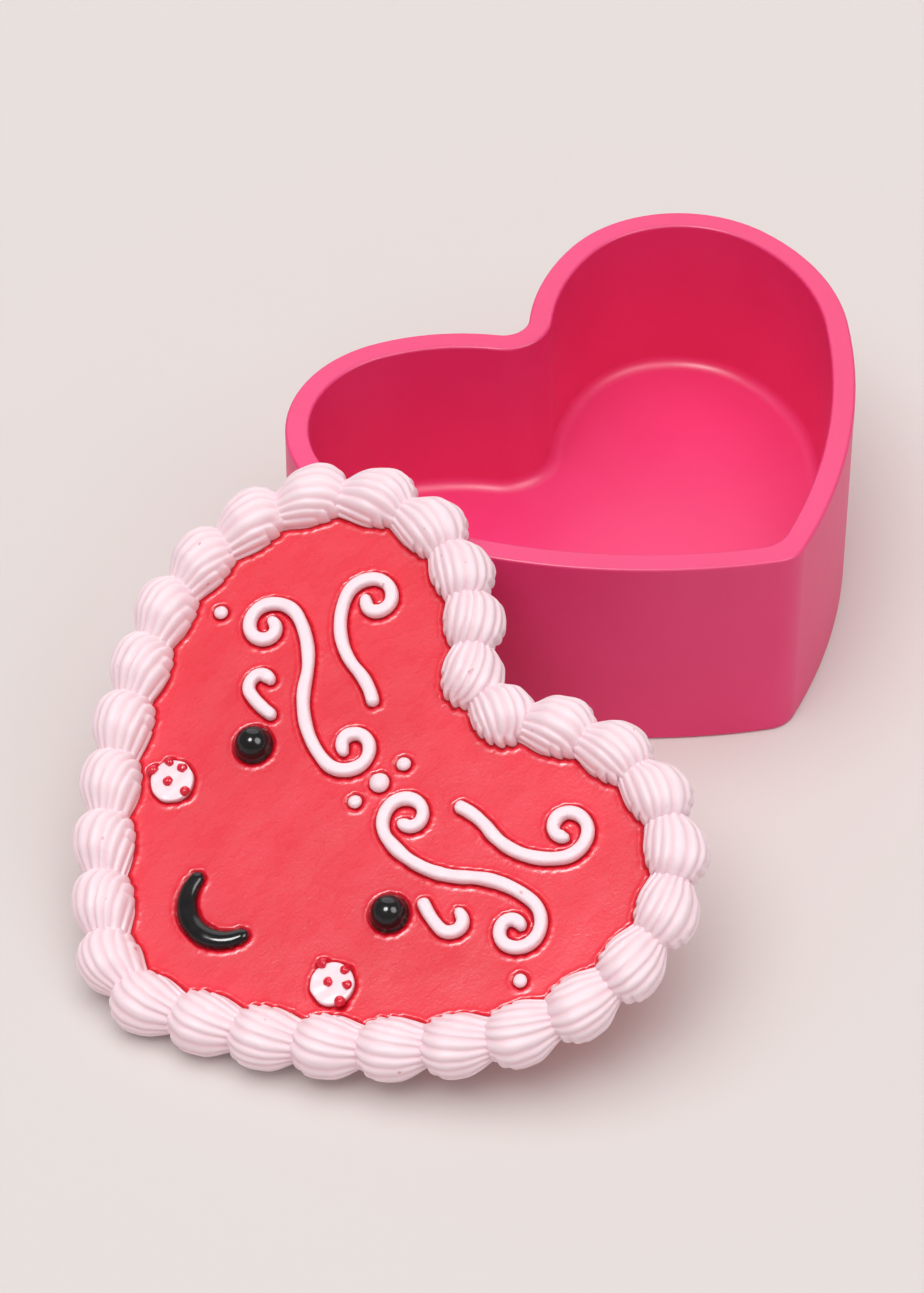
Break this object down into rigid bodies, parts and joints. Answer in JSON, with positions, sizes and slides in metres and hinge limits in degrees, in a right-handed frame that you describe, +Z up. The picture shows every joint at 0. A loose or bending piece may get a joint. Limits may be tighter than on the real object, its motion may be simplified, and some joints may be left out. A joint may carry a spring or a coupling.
{
  "type": "heart-shaped trinket box",
  "caption": "Open heart-shaped trinket box with a lift-off lid dressed like an iced cake: piped shell border, simple face and piped scrolls, the lid leaning on the rim.",
  "frame": {"origin": "on the table, at the middle of the flat base of the box, on the heart's axis of symmetry, where the heart's polar centre falls", "axes": "+Z up out of the box; +Y from the heart's tip to its cleft; +X to the right of the heart with its tip towards the viewer. The lid leans on the -X side"},
  "size_m": [0.2092, 0.153, 0.0584],
  "materials": {
    "box_resin": "cast resin with a smooth satin hot-pink paint",
    "lid_glaze": "cast resin under a glossy red lacquer with faint orange peel",
    "icing": "pale pink resin piping with a satin sheen",
    "cheek_icing": "pale pink resin with a satin sheen",
    "black_gloss": "black high-gloss enamel",
    "red_drops": "glossy red enamel drops"
  },
  "bodies": {
    "box": {"box_body": "box_resin"},
    "lid": {"lid_plate": "lid_glaze", "shell_01": "icing", "shell_02": "icing", "shell_03": "icing", "shell_04": "icing", "shell_05": "icing", "shell_06": "icing", "shell_07": "icing", "shell_08": "icing", "shell_09": "icing", "shell_10": "icing", "shell_11": "icing", "shell_12": "icing", "shell_13": "icing", "shell_14": "icing", "shell_15": "icing", "shell_16": "icing", "shell_17": "icing", "shell_18": "icing", "shell_19": "icing", "shell_20": "icing", "shell_21": "icing", "shell_22": "icing", "shell_23": "icing", "shell_24": "icing", "shell_25": "icing", "shell_26": "icing", "shell_27": "icing", "shell_28": "icing", "shell_29": "icing", "shell_30": "icing", "eye_left": "black_gloss", "eye_right": "black_gloss", "smile": "black_gloss", "cheek_left": "cheek_icing", "cheek_right": "cheek_icing", "sprinkle_left_1": "red_drops", "sprinkle_left_2": "red_drops", "sprinkle_left_3": "red_drops", "sprinkle_left_4": "red_drops", "sprinkle_left_5": "red_drops", "sprinkle_right_1": "red_drops", "sprinkle_right_2": "red_drops", "sprinkle_right_3": "red_drops", "sprinkle_right_4": "red_drops", "sprinkle_right_5": "red_drops", "scroll_left": "icing", "scroll_right": "icing", "branch_left": "icing", "branch_right": "icing", "curl_left": "icing", "curl_right": "icing", "pearl_top": "icing", "pearl_centre": "icing", "pearl_bottom": "icing", "pearl_left": "icing", "pearl_right": "icing"}
  },
  "joints": [
    {"name": "lid_lift", "type": "slide", "parent": "box", "child": "lid", "axis": [0, 0, 1], "range_m": [0, 0.08]}
  ]
}
